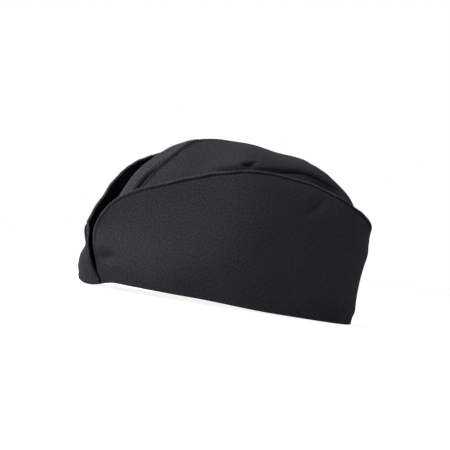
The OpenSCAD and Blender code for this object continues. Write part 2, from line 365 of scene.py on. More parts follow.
def closed_sheet(name, outer, inner, wear_and_shade=None):
    """A closed sheet between two grids of points, with a half-round edge."""
    count = outer.shape[0] * outer.shape[1]
    at = np.arange(count).reshape(outer.shape[:2])
    wear_and_shade = np.zeros(count) if wear_and_shade is None else wear_and_shade.ravel()
    loop = np.concatenate([at[:-1, 0], at[-1, :-1], at[:0:-1, -1], at[0, :0:-1]])
    inside = np.concatenate([at[:-1, 1], at[-2, :-1], at[:0:-1, -2], at[1, :0:-1]])
    flat_out, flat_in = outer.reshape(-1, 3), inner.reshape(-1, 3)
    middle = (flat_out + flat_in) / 2
    across = (flat_out[loop] - flat_in[loop]) / 2
    away = middle[loop] - middle[inside]
    away -= unit(across) * (away * unit(across)).sum(1, keepdims=True)
    away = unit(0.5 * away + 0.25 * (np.roll(away, 1, 0) + np.roll(away, -1, 0)))
    half = np.linalg.norm(across, axis=1, keepdims=True)
    angles = np.pi * np.arange(1, EDGE_STEPS + 1) / (EDGE_STEPS + 1)
    rings = [np.cos(a) * across + np.sin(a) * half * away + middle[loop] for a in angles]
    squares = [part.ravel() for part in (at[:-1, :-1], at[1:, :-1], at[1:, 1:], at[:-1, 1:])]
    faces = np.stack(squares, 1).tolist() + (count + np.stack(squares[:1] + squares[:0:-1], 1)).tolist()
    ring_at = [2 * count + len(loop) * k + np.arange(len(loop)) for k in range(EDGE_STEPS)]
    lines = [loop] + ring_at + [count + loop]
    for one, two in zip(lines[:-1], lines[1:]):
        faces += np.stack([one, two, np.roll(two, -1), np.roll(one, -1)], 1).tolist()
    place = flat_place(outer).reshape(-1, 3)
    places = np.concatenate([place, place, np.tile(place[loop], (EDGE_STEPS, 1))])
    all_wear_and_shade = np.concatenate([wear_and_shade, wear_and_shade, np.tile(wear_and_shade[loop], EDGE_STEPS)])
    return new_piece(name, np.concatenate([flat_out, flat_in] + rings), faces, places, all_wear_and_shade)


def tube(name, rings, wear_and_shade):
    """A closed tube through rings of points, each end closed on its middle."""
    count, sides = rings.shape[:2]
    at = np.arange(count * sides).reshape(count, sides)
    after = np.roll(at, -1, 1)
    faces = np.stack([at[:-1], at[1:], after[1:], after[:-1]], -1).reshape(-1, 4).tolist()
    ends = [count * sides, count * sides + 1]
    faces += [[ends[0], int(i), int(j)] for i, j in zip(at[0], after[0])]
    faces += [[ends[1], int(j), int(i)] for i, j in zip(at[-1], after[-1])]
    points = np.concatenate([rings.reshape(-1, 3), rings[[0, -1]].mean(1)])
    place = np.concatenate([flat_place(rings).reshape(-1, 3), np.zeros((2, 3))])
    return new_piece(name, points, faces, place, np.concatenate([np.repeat(wear_and_shade, sides), wear_and_shade[[0, -1]]]))


print("steps round the edge of a sheet", EDGE_STEPS)

# %% [markdown]
# ## Stitches
# A sewn line on dark cloth shows as a row of short raised threads. A dashed line in a texture would
# be flat, so each stitch is a small tube that arches over the cloth, thin at both ends.

# %% Stitch rows
STITCH_PITCH, STITCH_LONG, THREAD_THICK, STITCH_RISE = 2.8, 1.9, 0.34, 0.16
STITCH_TAPER = np.array([0.45, 0.9, 1.0, 0.9, 0.45])
THREAD_SIDES = 6
STITCH_POINTS = len(STITCH_TAPER) * THREAD_SIDES


def run_along(path):
    """Length along a path up to each of its points."""
    return np.concatenate([[0], np.cumsum(np.linalg.norm(np.diff(path, axis=0), axis=1))])


def at_places(path, run, places):
    return np.stack([np.interp(places, run, path[:, k]) for k in range(path.shape[1])], -1)


def stitch_row(name, path, normals, pitch=STITCH_PITCH, long=STITCH_LONG):
    """Thread that shows as a row of short stitches, each a little arched tube."""
    run = run_along(path)
    starts = np.arange(0.5 * pitch, run[-1] - 0.5 * pitch, pitch)
    share = np.linspace(0, 1, len(STITCH_TAPER))
    places = starts[:, None] + (share[None] - 0.5) * long
    n = unit(at_places(normals, run, places))
    centre = at_places(path, run, places) + n * (STITCH_RISE * np.sin(np.pi * share))[None, :, None]
    aside = np.cross(unit(np.gradient(centre, axis=1)), n)
    fat = (THREAD_THICK / 2 * STITCH_TAPER)[None, :, None, None]
    turns = np.arange(THREAD_SIDES) * 2 * np.pi / THREAD_SIDES
    ring = np.cos(turns)[:, None] * n[:, :, None] + np.sin(turns)[:, None] * aside[:, :, None]
    rings = centre[:, :, None] + fat * ring
    points = rings.reshape(-1, 3)
    at = np.arange(len(points)).reshape(rings.shape[:3])
    after = np.roll(at, -1, 2)
    sides = np.stack([at[:, :-1], after[:, :-1], after[:, 1:], at[:, 1:]], -1)
    faces = sides.reshape(-1, 4).tolist() + at[:, 0, ::-1].tolist() + at[:, -1].tolist()
    place = np.zeros(points.shape)
    place[:, 0] = np.repeat(starts, STITCH_POINTS) * MM
    return new_piece(name, points, faces, place, np.zeros(len(points)))


print("points of one stitch", STITCH_POINTS)

# %% [markdown]
# ## Cloth finishes
# Twill shows fine diagonal ribs, a dull surface, small slubs in the yarn, and paler threads where
# an edge is rubbed. The same wear value also carries painted light: where it is negative the colour
# is mixed towards near black, a painted shade in seams, folds and creases, and where it is raised on
# the edge rolls and the strip's crest it is partly a painted highlight. An image could carry all
# that, but two sine waves over the flat cloth give the ribs at any size, and two noises give the
# slubs and the uneven dye. Constant values, such as the low gloss, are set on the shader itself.

# %% Nodes of a finish
class FinishNodes:
    """A new material with short words for the nodes that a woven finish needs."""

    def __init__(self, name):
        self.material = bpy.data.materials.new(name)
        self.material.use_nodes = True
        self.nodes = self.material.node_tree.nodes
        self.link = self.material.node_tree.links.new
        self.shader = self.nodes["Principled BSDF"]
        self.cloth = self.add("ShaderNodeAttribute", attribute_name="cloth").outputs["Vector"]
        self.wear_and_shade = self.add("ShaderNodeAttribute", attribute_name="wear_and_shade").outputs["Fac"]

    def add(self, kind, **settings):
        node = self.nodes.new(kind)
        for key, value in settings.items():
            setattr(node, key, value)
        return node

    def math(self, operation, *values):
        node = self.add("ShaderNodeMath", operation=operation)
        for socket, value in zip(node.inputs, values):
            if isinstance(value, (int, float)):
                socket.default_value = value
            else:
                self.link(value, socket)
        return node.outputs[0]

    def weighted(self, total, value, weight):
        return self.math("ADD", total, self.math("MULTIPLY", value, weight))

    def wave(self, direction, wave_mm):
        node = self.add("ShaderNodeVectorMath", operation="DOT_PRODUCT")
        self.link(self.cloth, node.inputs[0])
        node.inputs[1].default_value = [2 * math.pi / (wave_mm * MM) * v for v in direction]
        return self.math("SINE", node.outputs["Value"])

    def noise(self, size_mm, detail):
        node = self.add("ShaderNodeTexNoise")
        self.link(self.cloth, node.inputs["Vector"])
        node.inputs["Scale"].default_value = 1 / (size_mm * MM)
        node.inputs["Detail"].default_value = detail
        return node.outputs["Fac"]

    def mix(self, factor, one, two):
        node = self.add("ShaderNodeMix", data_type="RGBA")
        self.link(factor, node.inputs["Factor"])
        for socket, value in (("A", one), ("B", two)):
            if isinstance(value, tuple):
                node.inputs[socket].default_value = (*value, 1.0)
            else:
                self.link(value, node.inputs[socket])
        return node.outputs["Result"]


print("finish nodes ready")

# %% A woven finish
RIB_SHARE, FLOAT_SHARE, FLOAT_LONG, FLOAT_TURN = 0.36, 0.14, 2.1, 0.4
SLUB_MM, DYE_MM, SLUB_RAISED = 1.2, 34.0, 0.6
WEAVE_TONE, SLUB_TONE, DYE_TONE, WEAR_AND_HIGHLIGHT_TONE = 0.22, 4.2, 0.34, 0.45
PAINTED_SHADE_TONE, GLOSS, BUMP_STRENGTH, SHEEN_ROUGH = 0.16, 0.03, 0.8, 0.45


def cloth_finish(name, deep, pale, rib_mm=0.62, rib_turn=(0.72, 0.69), bump_mm=0.10,
                 rough=(0.78, 0.95), sheen=0.0):
    """A woven finish whose colour runs from deep to pale."""
    kit = FinishNodes(name)
    ribs = kit.wave((rib_turn[0], rib_turn[1], 0.0), rib_mm)
    floats = kit.wave((rib_turn[1], -rib_turn[0] * FLOAT_TURN, 0.0), rib_mm * FLOAT_LONG)
    weave = kit.weighted(kit.math("MULTIPLY", ribs, RIB_SHARE), floats, FLOAT_SHARE)
    slubs, dye = kit.noise(SLUB_MM, 3.0), kit.noise(DYE_MM, 2.0)
    tone = kit.weighted(kit.math("MULTIPLY", weave, WEAVE_TONE), slubs, SLUB_TONE)
    tone = kit.weighted(tone, dye, DYE_TONE)
    # A raised wear value makes the colour paler: wear, and on the rolls and the strip's crest a painted
    # highlight
    tone = kit.weighted(tone, kit.wear_and_shade, WEAR_AND_HIGHLIGHT_TONE)
    tone = kit.math("ADD", tone, 0.5 - SLUB_TONE / 2 - DYE_TONE / 2)
    # A wear value below zero mixes the colour towards near black: painted shade
    painted_shade = kit.math("MULTIPLY", kit.wear_and_shade, -1.0)
    colour = kit.mix(painted_shade, kit.mix(tone, deep, pale), tuple(PAINTED_SHADE_TONE * v for v in deep))
    kit.link(colour, kit.shader.inputs["Base Color"])
    dull = kit.add("ShaderNodeMapRange")
    kit.link(slubs, dull.inputs["Value"])
    dull.inputs["To Min"].default_value, dull.inputs["To Max"].default_value = rough
    kit.link(dull.outputs["Result"], kit.shader.inputs["Roughness"])
    bump = kit.add("ShaderNodeBump")
    kit.link(kit.weighted(weave, slubs, SLUB_RAISED), bump.inputs["Height"])
    bump.inputs["Distance"].default_value = bump_mm * MM
    bump.inputs["Strength"].default_value = BUMP_STRENGTH
    kit.link(bump.outputs["Normal"], kit.shader.inputs["Normal"])
    kit.shader.inputs["Specular IOR Level"].default_value = GLOSS
    kit.shader.inputs["Sheen Weight"].default_value = sheen
    kit.shader.inputs["Sheen Roughness"].default_value = SHEEN_ROUGH
    return kit.material


print("slubs, mm", SLUB_MM, "patches of dye, mm", DYE_MM)

# %% Cloth finishes
ALONG, ACROSS, OTHER_WAY = (1.0, 0.0), (0.0, 1.0), (0.69, -0.72)
curtain_twill = cloth_finish("curtain_twill", (0.0359, 0.0348, 0.0421), (0.0662, 0.0642, 0.0752))
# A paler copy of the curtain twill: painted light for the stronger light the crown gets from above
crown_twill = cloth_finish(
    "crown_twill", (0.0455, 0.0443, 0.0534), (0.0847, 0.0822, 0.0965), rib_turn=OTHER_WAY)
# Paler again than the crown twill: a painted highlight, since the strip faces the light
lit_strip_twill = cloth_finish(
    "lit_strip_twill", (0.0510, 0.0497, 0.0592), (0.1045, 0.1016, 0.1188), rib_turn=(0.1, 0.99))
# A darker copy of the twill: painted shade for the inner faces of the curtains, which lie in shadow
shaded_facing_twill = cloth_finish(
    "shaded_facing_twill", (0.0132, 0.0128, 0.0153), (0.0253, 0.0245, 0.0288), rib_turn=OTHER_WAY)
# The edge twill of the rolls is paler than the curtain twill, partly for worn edges and partly as a
# painted highlight
edge_twill = cloth_finish("edge_twill", (0.0468, 0.0456, 0.0541), (0.1274, 0.1243, 0.1443), 0.55)
binding_tape = cloth_finish(
    "binding_tape", (0.0234, 0.0228, 0.0267), (0.0468, 0.0455, 0.0533), 0.5, ALONG)
band_cotton = cloth_finish(
    "band_cotton", (0.0273, 0.0267, 0.0312), (0.0520, 0.0507, 0.0592), 0.8, ACROSS, 0.14)
seam_tape = cloth_finish(
    "seam_tape", (0.0182, 0.0177, 0.0208), (0.0390, 0.0380, 0.0442), 0.9, ALONG, 0.12)
lining_canvas = cloth_finish(
    "lining_canvas", (0.17, 0.168, 0.172), (0.26, 0.256, 0.262), 1.0, ALONG, 0.16)
elastic_rib = cloth_finish(
    "elastic_rib", (0.0130, 0.0127, 0.0149), (0.0390, 0.0377, 0.0442), 1.3, ACROSS, 0.25)
sewing_thread = cloth_finish(
    "sewing_thread", (0.0260, 0.0254, 0.0292), (0.0598, 0.0585, 0.0663), 0.3, bump_mm=0.05,
    rough=(0.45, 0.6), sheen=0.05)
print("twills", [m.name for m in (curtain_twill, crown_twill, lit_strip_twill, shaded_facing_twill, edge_twill)])

# %% [markdown]
# ## Folds and dents of the curtains
# Stiff cloth does not wrinkle much: it swells a little, dips where it was pressed, and puckers next
# to a row of stitches. Each of these is a small push along the cloth's own outward direction.
# Dents are listed as place, length, width, turn and depth, so each can be changed alone.

# %% Folds and dents of the curtains
GIRTH = 311.0
TIP_FLARE, TIP_Q, TIP_HALF, TIP_DEEP = 2.6, 0.775, 0.04, 4.5
CURTAIN_DENTS = {
    # q, height, half length, half width, turn in degrees, depth
    "left": [
        (0.545, 81.0, 9.0, 2.8, 38.0, 3.1), (0.60, 72.0, 22.0, 9.0, 60.0, -0.8),
        (0.072, 19.5, 13.0, 4.0, 8.0, 4.3), (0.16, 34.0, 22.0, 14.0, 70.0, -0.7),
        (0.84, 34.0, 10.0, 11.0, 85.0, 2.1), (0.82, 54.0, 7.0, 14.0, 90.0, -1.1),
        (0.85, 9.0, 8.0, 14.0, 90.0, -1.5), (0.42, 24.0, 40.0, 16.0, 5.0, 0.5),
        (0.72, 26.0, 30.0, 14.0, 80.0, 0.7),
    ],
    "right": [
        (0.50, 80.0, 18.0, 6.0, 142.0, 1.2), (0.08, 14.0, 10.0, 6.0, 20.0, -0.6),
        (0.06, 36.0, 8.0, 6.5, 80.0, -3.0), (0.14, 25.0, 4.4, 24.0, 90.0, 2.1),
        (0.15, 4.0, 3.0, 24.0, 90.0, 3.2), (0.30, 50.0, 30.0, 14.0, 110.0, 0.7),
        (0.70, 40.0, 26.0, 12.0, 100.0, 0.8), (0.88, 46.0, 18.0, 9.0, 95.0, -0.9),
    ],
}


def draw_waves(count, *ranges):
    """Random soft waves for each side, every value drawn from its own range."""
    return {side: [[random.uniform(*r) for r in ranges] for _ in range(count)] for side in SIDES}


# turns round the curtain, turns in 100 mm of height, phase, size
SWELLS = draw_waves(7, (2.0, 7.0), (0.8, 2.6), (0, 6.28), (0.10, 0.26))


def dent(along_mm, up_mm, half_long, half_wide, turn, depth):
    c, s = math.cos(math.radians(turn)), math.sin(math.radians(turn))
    long_way, wide_way = along_mm * c + up_mm * s, up_mm * c - along_mm * s
    return -depth * hump(long_way, 0.0, half_long) * hump(wide_way, 0.0, half_wide)


def curtain_relief(q, z, side):
    push = np.zeros_like(z)
    for turns, rises, phase, size in SWELLS[side]:
        push += size * np.sin(2 * np.pi * (turns * q + rises * z / 100) + phase)
    for place, height, *form in CURTAIN_DENTS[side]:
        push += dent((q - place) * GIRTH, z - height, *form)
    if side == "left":
        below_edge = np.maximum(0, curtain_top(q, side) - z)
        push += TIP_FLARE * hump(q, TIP_Q, TIP_HALF) * np.exp(-below_edge / TIP_DEEP)
    return push * rise(z, CURTAIN_HEM, CURTAIN_HEM + 10.0)


def mirror(points, side):
    return points * np.array([1.0, -1.0 if side == "right" else 1.0, 1.0])


print("dents", {side: len(v) for side, v in CURTAIN_DENTS.items()})

# %% [markdown]
# ## The curtains
# A curtain is two cloths with a stiff interlining between them, turned out at the edge into a thin
# roll and held by a row of stitches just below it. The stitches pull both cloths in to a groove
# under the pale roll, and the dark line in that groove is painted shade. The roll is pale partly
# from wear and partly as a painted highlight. In the slit at the front the roll lies flatter and is
# darkened with painted shade. All layers share one surface, each at its own depth.

# %% Grid and edge of a curtain
END_SHARE = 0.04
q_ends = END_SHARE * np.linspace(0, 1, 22) ** 1.25
Q_LINE = np.concatenate([q_ends, np.linspace(END_SHARE, 1 - END_SHARE, 152)[1:-1], 1 - q_ends[::-1]])
NEAR_EDGE = np.array([6.4, 5.2, 4.2, 3.4, 2.8, 2.3, 1.8, 1.3, 0.8, 0.35, 0.0])
CLOTH_HEM, FACING_HEM, EDGE_STEP = 0.8, 1.6, 0.45


def curtain_surface(q, z, side, depth, extra=0.0):
    push = curtain_relief(q, z, side) + extra - depth
    return curtain_plan(q, z) + push[..., None] * curtain_normal(q, z)


def curtain_grid(side, q_line=Q_LINE, rows=34, margin=0.0, low=CURTAIN_HEM):
    tops = curtain_top(q_line, side) - margin
    low = low + margin
    near = tops[:, None] - NEAR_EDGE[None] if margin == 0 else tops[:, None]
    body = low + (near[:, :1] - low) * np.linspace(0, 1, rows)[None, :-1]
    z = np.concatenate([body, near], 1)
    return np.repeat(q_line[:, None], z.shape[1], 1), z


def free_edge(side):
    """q and z along the free edge: up the front, along the top and down the back."""
    tops = curtain_top(Q_LINE, side)
    up = np.linspace(CURTAIN_HEM, tops[0], 40)[:-1]
    down = np.linspace(tops[-1], CURTAIN_HEM, 60)[1:]
    q = np.concatenate([np.zeros(len(up)), Q_LINE, np.ones(len(down))])
    return q, np.concatenate([up, tops, down])


def edge_axes(side):
    """Edge points, outward direction of the cloth, direction out past the edge, and the run."""
    q, z = free_edge(side)
    points = curtain_surface(q, z, side, CURTAIN_THICK / 2)
    run = run_along(points)
    places = np.linspace(0, run[-1], int(run[-1] / EDGE_STEP))
    points, n = at_places(points, run, places), at_places(curtain_normal(q, z), run, places)
    for _ in range(3):
        points[1:-1] = 0.5 * points[1:-1] + 0.25 * (points[:-2] + points[2:])
    ahead = unit(np.gradient(points, axis=0))
    n = unit(n - ahead * (n * ahead).sum(1, keepdims=True))
    return points, n, np.cross(n, ahead), places


def distance_to(points, line):
    """Distance of each point from the nearest point of a line, worked out in parts."""
    parts = np.array_split(points.reshape(-1, 3), 40)
    nearest = [np.sqrt(((part[:, None] - line[None]) ** 2).sum(2)).min(1) for part in parts]
    return np.concatenate(nearest).reshape(points.shape[:-1])


print("points of one curtain face", curtain_grid("left")[0].shape)

# %% Seam, wear and painted shade beside the edge
STITCH_IN, GROOVE_WIDE = 1.5, 0.7
PUCKER_LONG, PUCKER_HIGH, PUCKER_REACH, PUCKER_START = 12.5, 0.26, 8.0, 3.0
EDGE_RUB, HEM_RUB, TOE_RUB, STITCH_SHADE = 0.75, 0.25, 0.6, 1.6
SLIT_Q, CORNER_Q, SIDE_Q = 0.04, 0.12, 0.42


def edge_relief(q, near):
    """Puckers beside the edge's seam, and the groove that its stitches pull."""
    wave = 2 * np.pi * q * GIRTH / PUCKER_LONG + 2.0 * np.sin(q * 31.0)
    pucker = PUCKER_HIGH * np.exp(-near / PUCKER_REACH) * np.sin(wave) * rise(near, 0.0, PUCKER_START)
    deep = 0.1 + 0.3 * rise(q, 0.0, SLIT_Q) + 0.35 * rise(q, CORNER_Q, SIDE_Q)
    groove = -deep * hump(near, STITCH_IN - 0.3, GROOVE_WIDE) + 0.12 * hump(near, 4.0, 1.6)
    return pucker, groove


def curtain_wear_and_shade(q, z, near, side):
    """Paler where the edge, the hem and the right toe are rubbed, with painted shade along the stitch
    groove.
    """
    wear_and_shade = EDGE_RUB * np.exp(-near) + 0.12 * hump(near, 6.0, 3.0)
    wear_and_shade += HEM_RUB * np.exp(-(z - CURTAIN_HEM) / 2.0)
    if side == "right":
        wear_and_shade += TOE_RUB * hump(q, 0.10, 0.07) * hump(z, 14.0, 9.0)
    deep = 0.1 + 0.35 * rise(q, 0.0, SLIT_Q) + 0.5 * rise(q, CORNER_Q, SIDE_Q)
    # A painted shade darkens the cloth along the stitch groove
    return wear_and_shade - STITCH_SHADE * deep * hump(near, STITCH_IN - 0.2, 0.8)


print("stitches in from the edge, mm", STITCH_IN)

# %% The rolled edge
ROLL_RADIUS, ROLL_SIDES, ROLL_OUT, ROLL_SWAY = 0.8, 12, 0.8, 0.12
ROLL_LEFT, ROLL_LEFT_OPEN, ROLL_RIGHT, SLIT_THINNER = 0.82, 0.4, 1.25, 0.3


def edge_roll(side, edge, edge_n, edge_out, edge_run):
    """The turned edge: flat and darkened with painted shade in the slit, fatter and paler where it lies
    open, that paleness partly wear and partly a painted highlight.
    """
    share = edge_run / edge_run[-1]
    in_slit = fall(share, 0.03, 0.07)
    # The paler roll past the left peak and along the right rim is partly wear and partly a painted
    # highlight
    if side == "left":
        lies_open = rise(share, 0.38, 0.58)
        fat, wear_and_shade = ROLL_LEFT + ROLL_LEFT_OPEN * lies_open, 0.2 + 0.9 * lies_open
    else:
        fat, wear_and_shade = ROLL_RIGHT, 0.3 + 0.8 * rise(share, 0.07, 0.15)
    # In the slit the wear value falls below zero: painted shade
    wear_and_shade = wear_and_shade - (0.5 + 0.5 * rise(share, 0.0, 0.035)) * in_slit
    fat = fat - SLIT_THINNER * in_slit + 0.06 * np.cos(2 * np.pi * edge_run / STITCH_PITCH)
    fat = fat + 0.05 * np.sin(edge_run / 5.3) + 0.04 * np.sin(edge_run / 1.9 + 1.0)
    turns = (np.arange(ROLL_SIDES) * 2 * np.pi / ROLL_SIDES)[None, :, None]
    ring = np.cos(turns) * edge_n[:, None] + np.sin(turns) * edge_out[:, None]
    sway = (ROLL_SWAY * np.sin(edge_run / 9.0))[:, None]
    middle = edge + edge_out * (ROLL_OUT * ROLL_RADIUS) + edge_n * sway
    rings = middle[:, None] + ROLL_RADIUS * fat[:, None, None] * ring
    return tube(side + "_curtain_edge_roll", mirror(rings, side), wear_and_shade)


print("roll, mm", 2 * ROLL_RADIUS)


def dress(piece, finish, side=None, node=None):
    """Finish, slot, replaced node, and what the piece moves with."""
    piece.data.materials.append(finish)
    if node:
        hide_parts(node)
    if side:
        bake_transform(piece)
    else:
        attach(piece, "cap")
    return piece


# %% Make both curtains
CANVAS_ENDS, CANVAS_ROWS, CANVAS_MARGIN = 0.012, 56, 4.5
CANVAS_LINE = np.linspace(CANVAS_ENDS, 1 - CANVAS_ENDS, 190)
STITCH_SUNK, HEM_PULL, FACING_GROOVE = 0.42, 0.18, 0.7


def curtain_sheet(kind, side, q, z, depths, extra=0.0, wear_and_shade=None):
    """One layer of a curtain, between two depths below its outer face."""
    outer, inner = (mirror(curtain_surface(q, z, side, depth, extra), side) for depth in depths)
    return closed_sheet(side + "_curtain_" + kind, outer, inner, wear_and_shade)


for side in SIDES:
    name = side + "_curtain"
    edge, edge_n, edge_out, edge_run = edge_axes(side)
    q, z = curtain_grid(side, low=CLOTH_HEM)
    near = distance_to(curtain_surface(q, z, side, CURTAIN_THICK / 2), edge[::3])
    pucker, groove = edge_relief(q, near)
    wear_and_shade = curtain_wear_and_shade(q, z, near, side)
    front = pucker + groove - HEM_PULL * hump(z, 6.0, 1.4)
    cloth = curtain_sheet("cloth", side, q, z, (0.0, CURTAIN_CLOTH), front, wear_and_shade)
    z = np.maximum(z, FACING_HEM + 0.02 * z)
    behind = pucker - FACING_GROOVE * groove
    facing = curtain_sheet("facing_cloth", side, q, z, (FACING_IN, CURTAIN_THICK), behind, 0.5 * wear_and_shade)
    q, z = curtain_grid(side, CANVAS_LINE, CANVAS_ROWS, CANVAS_MARGIN)
    canvas = curtain_sheet("canvas", side, q, z, (LINING_IN, LINING_IN + LINING))
    roll = edge_roll(side, edge, edge_n, edge_out, edge_run)
    row, off = edge - edge_out * STITCH_IN, edge_n * (CURTAIN_THICK / 2 - STITCH_SUNK)
    stitches = stitch_row(name + "_edge_stitches", mirror(row + off, side), mirror(edge_n, side))
    back_stitches = stitch_row(name + "_facing_stitches", mirror(row - off, side), mirror(-edge_n, side))
    dress(cloth, curtain_twill, side, name + "_outer")
    dress(facing, shaded_facing_twill, side, name + "_facing")
    dress(canvas, lining_canvas, side, name + "_interlining")
    dress(roll, edge_twill, side, name + "_roll")
    dress(stitches, sewing_thread, side)
    dress(back_stitches, sewing_thread, side)
    print(side, "curtain cloth, cm2", square_cm(cloth), "edge, mm", round(float(edge_run[-1])))
    print(side, "stitches", len(stitches.data.vertices) // STITCH_POINTS)

# %% [markdown]
# ## The crown panels
# Each panel is one piece of twill from the hem up to a folded ridge beside the top strip. The empty
# crown has sunk a little: near the free edge of the left curtain it folds over into a soft crease
# that starts in a small pinch, from where a shallow fold runs down to the curtain. The left ridge
# is puffed out on the front slope, and the right panel has fallen there. The folded edge is thicker
# than the cloth, since the seam allowance lies under it. A cloth simulation would fold it somewhere
# else each time a value changes, so every fold is a hump or a rise at its own place.

# %% Crease and folds of the crown
FAR_FALL, RIDGE_Y, TOP_Y = 4.5, 11.0, 18.0
TAIL_HEIGHT, TAIL_SLOPE, TAIL_HALF = 102.6, 0.36, 2.0
# x and height of the crease in the left panel
CREASE = [
    (-22.0, 101.4), (-14.0, 101.0), (-8.0, 101.6), (5.0, 103.2), (22.0, 105.4), (30.0, 105.6),
    (40.0, 103.8), (47.5, 101.6), (62.0, 98.6), (76.0, 92.4), (92.0, 80.0),
]


def crease_height(x):
    """Height of the crease over x, rounded between its listed points."""
    at, value = np.array(CREASE).T
    return sum(np.interp(x + step, at, value) for step in (-8.0, -4.0, 0.0, 4.0, 8.0)) / 5


def pinch_tail(x, y, z):
    """The soft fold that runs down from the pinch to the edge of the left curtain."""
    fold = hump(z - TAIL_SLOPE * (x + 20.0), TAIL_HEIGHT, TAIL_HALF)
    return between(x, -48.0, -36.0, -22.0, -14.0) * (y > TOP_Y) * fold


def far_fall(x, y):
    """How far the empty crown has fallen beside the strip, on the right of its front slope."""
    beside = rise(y, 1.0, 10.0) * hump(np.maximum(y, RIDGE_Y), RIDGE_Y, 22.0)
    return FAR_FALL * between(x, -98.0, -78.0, -30.0, 14.0) * beside


print("crease runs, mm", CREASE[0][0], "to", CREASE[-1][0])

# %% Crown relief
CROWN_DENTS = {
    # x, y from the middle, height, half length, half width, depth; the first is the pinch
    "left": [
        (-19.0, 45.0, 104.0, 4.8, 1.6, 3.2), (-50.0, 40.0, 94.0, 20.0, 9.0, -0.8),
        (24.0, 24.0, 115.0, 12.0, 9.0, 1.0), (60.0, 30.0, 106.0, 16.0, 8.0, -1.0),
    ],
    "right": [
        (10.0, 46.0, 104.0, 24.0, 4.5, 1.8), (-40.0, 34.0, 104.0, 15.0, 9.0, 0.9),
        (52.0, 34.0, 104.0, 18.0, 8.0, -1.0), (-62.0, 30.0, 88.0, 12.0, 8.0, -0.7),
    ],
}
LEFT_PUFFS = [
    # x, half length, y from the middle, half width, height
    (-8.0, 26.0, RIDGE_Y, 12.0, 0.8), (-46.0, 9.0, RIDGE_Y, 22.0, 1.6), (-55.0, 8.0, RIDGE_Y, 22.0, 2.0),
    (-66.0, 8.5, RIDGE_Y, 22.0, 3.6), (58.0, 16.0, 14.0, 16.0, 2.2), (86.0, 12.0, 26.0, 22.0, 6.8),
]
RIDGE_TUCK, RIDGE_FOLD, TAIL_DEEP, CREASE_LIP = 0.3, 1.7, 1.8, 0.8
# length of a wave, turn, phase, height
CROWN_SWELLS = draw_waves(8, (15, 42), (0, 3.14), (0, 6.28), (0.07, 0.18))


def left_ridge(x, y, z):
    """The puffed ridge and back of the left panel, less the fold below its pinch."""
    tucked = -RIDGE_TUCK * between(x, -98.0, -82.0, -62.0, -54.0)
    folded = RIDGE_FOLD * between(x, -66.0, -54.0, -32.0, 10.0)
    push = hump(y, RIDGE_Y, 12.0) * (tucked + folded) - TAIL_DEEP * pinch_tail(x, y, z)
    for px, half_long, py, half_wide, high in LEFT_PUFFS:
        push += high * hump(x, px, half_long) * hump(y, py, half_wide)
    return push


def crown_relief(points, side):
    """How far each point of a panel stands off the plain crown."""
    x, y, z = points[..., 0], np.abs(points[..., 1]), points[..., 2]
    push = left_ridge(x, y, z) if side == "left" else -far_fall(x, y)
    for size, turned, phase, high in CROWN_SWELLS[side]:
        way = x * math.cos(turned) + (y + z) * math.sin(turned)
        push += high * np.sin(way * 2 * np.pi / size / 1.6 + phase)
    for px, py, pz, half_long, half_wide, depth in CROWN_DENTS[side]:
        push -= depth * hump(x, px, half_long) * hump(z - y, pz - py, 1.4 * half_wide)
    if side == "left":
        below, groove, step = crease_height(x) - z, 2.0, 0.4 + 2.8 * rise(x, 22.0, 48.0)
    else:
        below, groove, step = crease_height(x + 12.0) - 3.0 - z, 1.2, 1.0
    reach = between(x, -24.0, -14.0, 50.0, 70.0) * (y > TOP_Y)
    hollow = rise(below, 0.5, 4.0) * (1 - 0.75 * rise(below, 9.0, 23.0))
    lip = CREASE_LIP * hump(below, -3.4, 2.6)
    push += reach * (lip - groove * hump(below, 0.0, 1.0) - step * hollow)
    return push * rise(z, 34.0, 64.0)


def crease_shade(points):
    """Painted shade in the left panel's crease, pinch and fold, and a little over the back of the crown.
    """
    x, y, z = points[..., 0], np.abs(points[..., 1]), points[..., 2]
    above = z - crease_height(x)
    line = between(x, -10.0, 2.0, 54.0, 84.0) * (y > TOP_Y) * hump(above, 0.0, 0.9)
    near_line = hump(np.maximum(above, 6.0), 6.0, 7.0) * hump(np.minimum(above, -12.0), -12.0, 9.0)
    px, py, pz = CROWN_DENTS["left"][0][:3]
    pinch = 0.55 * hump(x, px, 4.6) * hump(z - y, pz - py, 2.8)
    tail = (0.3 + 0.25 * rise(x, -40.0, -24.0)) * pinch_tail(x, y, z)
    # The last term is a faint painted shade over the back of the crown
    return tail + pinch + 0.5 * line + 0.28 * rise(x, -34.0, -8.0) * near_line + 0.06 * rise(x, 20.0, 70.0)


print("puffs", len(LEFT_PUFFS), "dents", {side: len(v) for side, v in CROWN_DENTS.items()})

# %% Two faces of a cloth
INSIDE = np.array([0.0, 0.0, 20.0])


def outward(face):
    """Unit directions away from a point inside the cap."""
    n = unit(np.cross(np.gradient(face, axis=0), np.gradient(face, axis=1)))
    return n * np.sign((n * (face - INSIDE)).sum(-1).mean())


def pushed(outer, inner, relief):
    """Both faces of a cloth, moved out together by the relief."""
    push = relief[..., None] * outward(outer)
    return outer + push, inner + push


def inner_rows(name, face, columns, cut, pitch=STITCH_PITCH, long=STITCH_LONG):
    """Stitch rows on the inner face of a cloth, along columns of its grid."""
    inward, rows = -outward(face), []
    for number, column in enumerate(columns, 1):
        path, normals = face[cut:-cut, column], inward[cut:-cut, column]
        row = stitch_row("%s_%d" % (name, number), path, normals, pitch, long)
        rows.append(dress(row, sewing_thread))
    return rows


def share_grid(along, across):
    return np.meshgrid(np.linspace(0, 1, along), np.linspace(0, 1, across), indexing="ij")


print("faces of a cloth ready")

